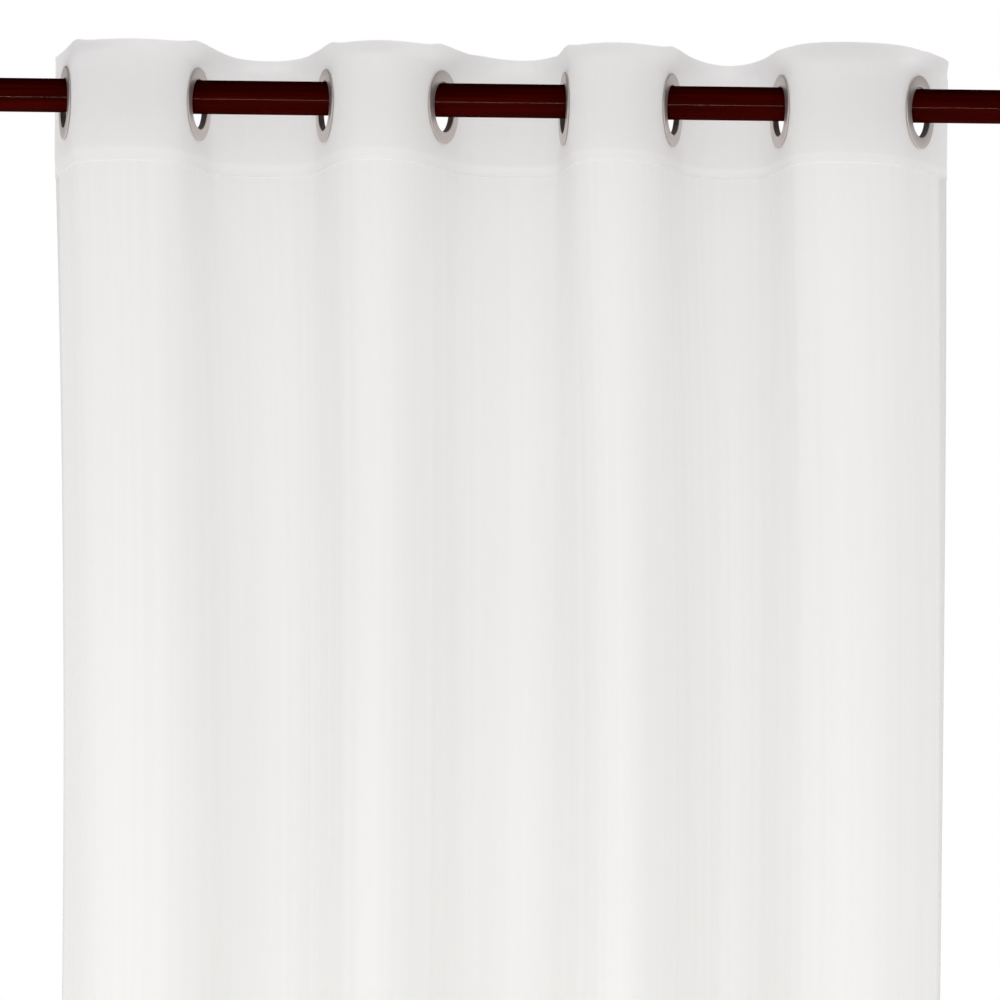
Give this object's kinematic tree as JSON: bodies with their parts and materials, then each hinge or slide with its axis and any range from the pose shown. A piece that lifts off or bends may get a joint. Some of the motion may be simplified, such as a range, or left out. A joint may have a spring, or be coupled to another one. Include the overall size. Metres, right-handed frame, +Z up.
{
  "type": "eyelet curtain with curtain rod",
  "caption": "Sheer white curtain panel that hangs in deep upright folds from a round dark red wooden rod, threaded through metal eyelets in a stiffened heading.",
  "frame": {"origin": "the curtain rod's axis, halfway along the rod", "axes": "+X along the rod to the viewer's right, +Y away from the viewer, towards the window, +Z up"},
  "size_m": [1.2, 0.1536, 2.4024],
  "materials": {
    "voile": "sheer plain weave, soft matt",
    "heading": "doubled and stiffened plain weave, matt",
    "satin_nickel": "satin",
    "mahogany": "lacquered, semi-gloss"
  },
  "bodies": {
    "root": {"panel": "voile", "heading": "heading", "rod": "mahogany", "eyelet_front_1": "satin_nickel", "eyelet_front_2": "satin_nickel", "eyelet_front_3": "satin_nickel", "eyelet_front_4": "satin_nickel", "eyelet_front_5": "satin_nickel", "eyelet_front_6": "satin_nickel", "eyelet_front_7": "satin_nickel", "eyelet_front_8": "satin_nickel", "eyelet_back_1": "satin_nickel", "eyelet_back_2": "satin_nickel", "eyelet_back_3": "satin_nickel", "eyelet_back_4": "satin_nickel", "eyelet_back_5": "satin_nickel", "eyelet_back_6": "satin_nickel", "eyelet_back_7": "satin_nickel", "eyelet_back_8": "satin_nickel"}
  },
  "joints": []
}
